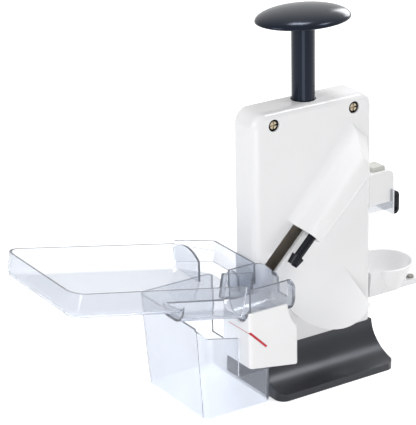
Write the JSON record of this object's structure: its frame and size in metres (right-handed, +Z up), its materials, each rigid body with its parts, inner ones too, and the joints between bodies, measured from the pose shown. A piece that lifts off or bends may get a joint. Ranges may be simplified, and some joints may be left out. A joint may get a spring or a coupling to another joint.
{
  "type": "cherry pitter",
  "caption": "Kitchen cherry and plum pitter: push plunger, slanted ejector under a hood, clear tray and stone box, suction foot with lever.",
  "frame": {"origin": "on the table under the axis of the plunger shaft", "axes": "+X along the front face to the plum side, +Y to the back, +Z up along the shaft"},
  "size_m": [0.3322, 0.106, 0.2915],
  "materials": {
    "white_plastic": "smooth glossy ABS",
    "dark_plastic": "dark slate glossy ABS",
    "black_plastic": "blue-black moulded plastic",
    "charcoal_plastic": "finely grained charcoal plastic",
    "grey_plastic": "light grey plastic",
    "clear_plastic": "clear polystyrene",
    "red_rubber": "soft red elastomer",
    "black_rubber": "black rubber",
    "steel": "stainless steel",
    "dark_steel": "bright screw steel"
  },
  "bodies": {
    "base": {"foot": "charcoal_plastic", "foot_screws": "steel", "suction_pad": "black_rubber", "lever_axle": "steel", "front_shell": "white_plastic", "rear_shell": "white_plastic", "shell_screws": "dark_steel", "shaft_bush": "black_plastic", "spring_guide": "grey_plastic", "return_spring": "steel", "stone_chute": "white_plastic", "chute_screws": "steel", "splash_lip": "red_rubber", "cherry_seat": "clear_plastic", "plum_cup": "white_plastic", "plum_cup_screw": "dark_steel"},
    "plunger": {"handle_cap": "dark_plastic", "cap_screw": "steel", "plunger_shaft": "dark_plastic", "crosshead": "grey_plastic", "crosshead_pin": "steel", "knife_block": "white_plastic", "plum_knife": "steel", "blade_clip": "black_plastic", "blade_tab": "grey_plastic"},
    "ejector": {"ejector_rod": "black_plastic", "ejector_head": "black_plastic", "ejector_carriage": "grey_plastic", "follower_pin": "steel"},
    "suction_lever": {"suction_lever": "charcoal_plastic"},
    "suction_stem": {"suction_stem": "grey_plastic"},
    "cherry_tray": {"cherry_tray": "clear_plastic"},
    "stone_container": {"stone_container": "clear_plastic"}
  },
  "joints": [
    {"name": "plunge", "type": "slide", "parent": "base", "child": "plunger", "axis": [0, 0, -1], "range_m": [0, 0.043], "stiffness_N_per_m": 150, "springref_m": -0.02, "deforming": ["return_spring"]},
    {"name": "eject", "type": "slide", "parent": "base", "child": "ejector", "axis": [-0.7071, 0, -0.7071], "range_m": [0, 0.0609]},
    {"name": "suction_turn", "type": "hinge", "parent": "base", "child": "suction_lever", "pos_m": [0.0035, 0.014, 0.015], "axis": [1, 0, 0], "range_deg": [0, 75]},
    {"name": "stem_move", "type": "slide", "parent": "base", "child": "suction_stem", "axis": [0, 0, -1], "range_m": [0, 0.003]},
    {"name": "tray_lift", "type": "slide", "parent": "base", "child": "cherry_tray", "axis": [0, 0, 1], "range_m": [0, 0.06]},
    {"name": "container_pull", "type": "slide", "parent": "base", "child": "stone_container", "axis": [-1, 0, 0], "range_m": [0, 0.12]}
  ],
  "couplings": [
    {"joint": "eject", "follows": "plunge", "ratio": 1.4142},
    {"joint": "stem_move", "follows": "suction_turn", "m_per_rad": 0.00229}
  ]
}
